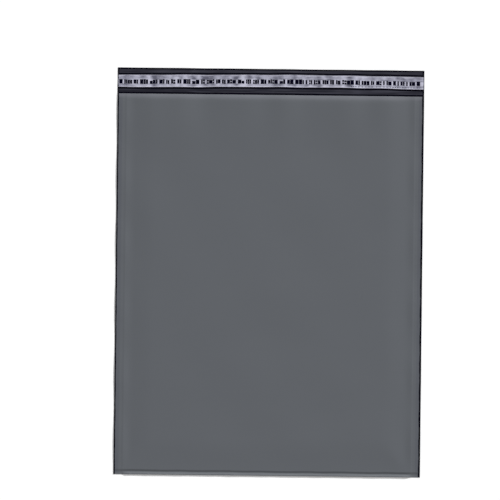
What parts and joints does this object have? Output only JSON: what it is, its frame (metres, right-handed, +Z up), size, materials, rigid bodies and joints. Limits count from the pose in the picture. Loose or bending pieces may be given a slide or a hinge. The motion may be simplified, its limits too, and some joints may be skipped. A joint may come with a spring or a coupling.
{
  "type": "poly mailer bag",
  "caption": "Flat plastic mailing bag, open at the mouth, with welded sides and a flap that carries an adhesive strip under a peel-off liner.",
  "frame": {"origin": "on the floor under the middle of the bag, which lies on its back", "axes": "+Z up out of the front face, +Y along the length from the bottom fold to the flap, +X along the width"},
  "size_m": [0.268, 0.3556, 0.0019],
  "materials": {
    "grey_film": "satin co-extruded polyethylene film, grey outside and near black inside",
    "hot_melt": "clear amber pressure-sensitive hot-melt, glossy and tacky",
    "silver_liner": "thin siliconised film, lilac silver with dark printed ticks"
  },
  "bodies": {
    "root": {"mailer_film": "grey_film", "adhesive_strip": "hot_melt", "release_liner": "silver_liner"}
  },
  "joints": []
}
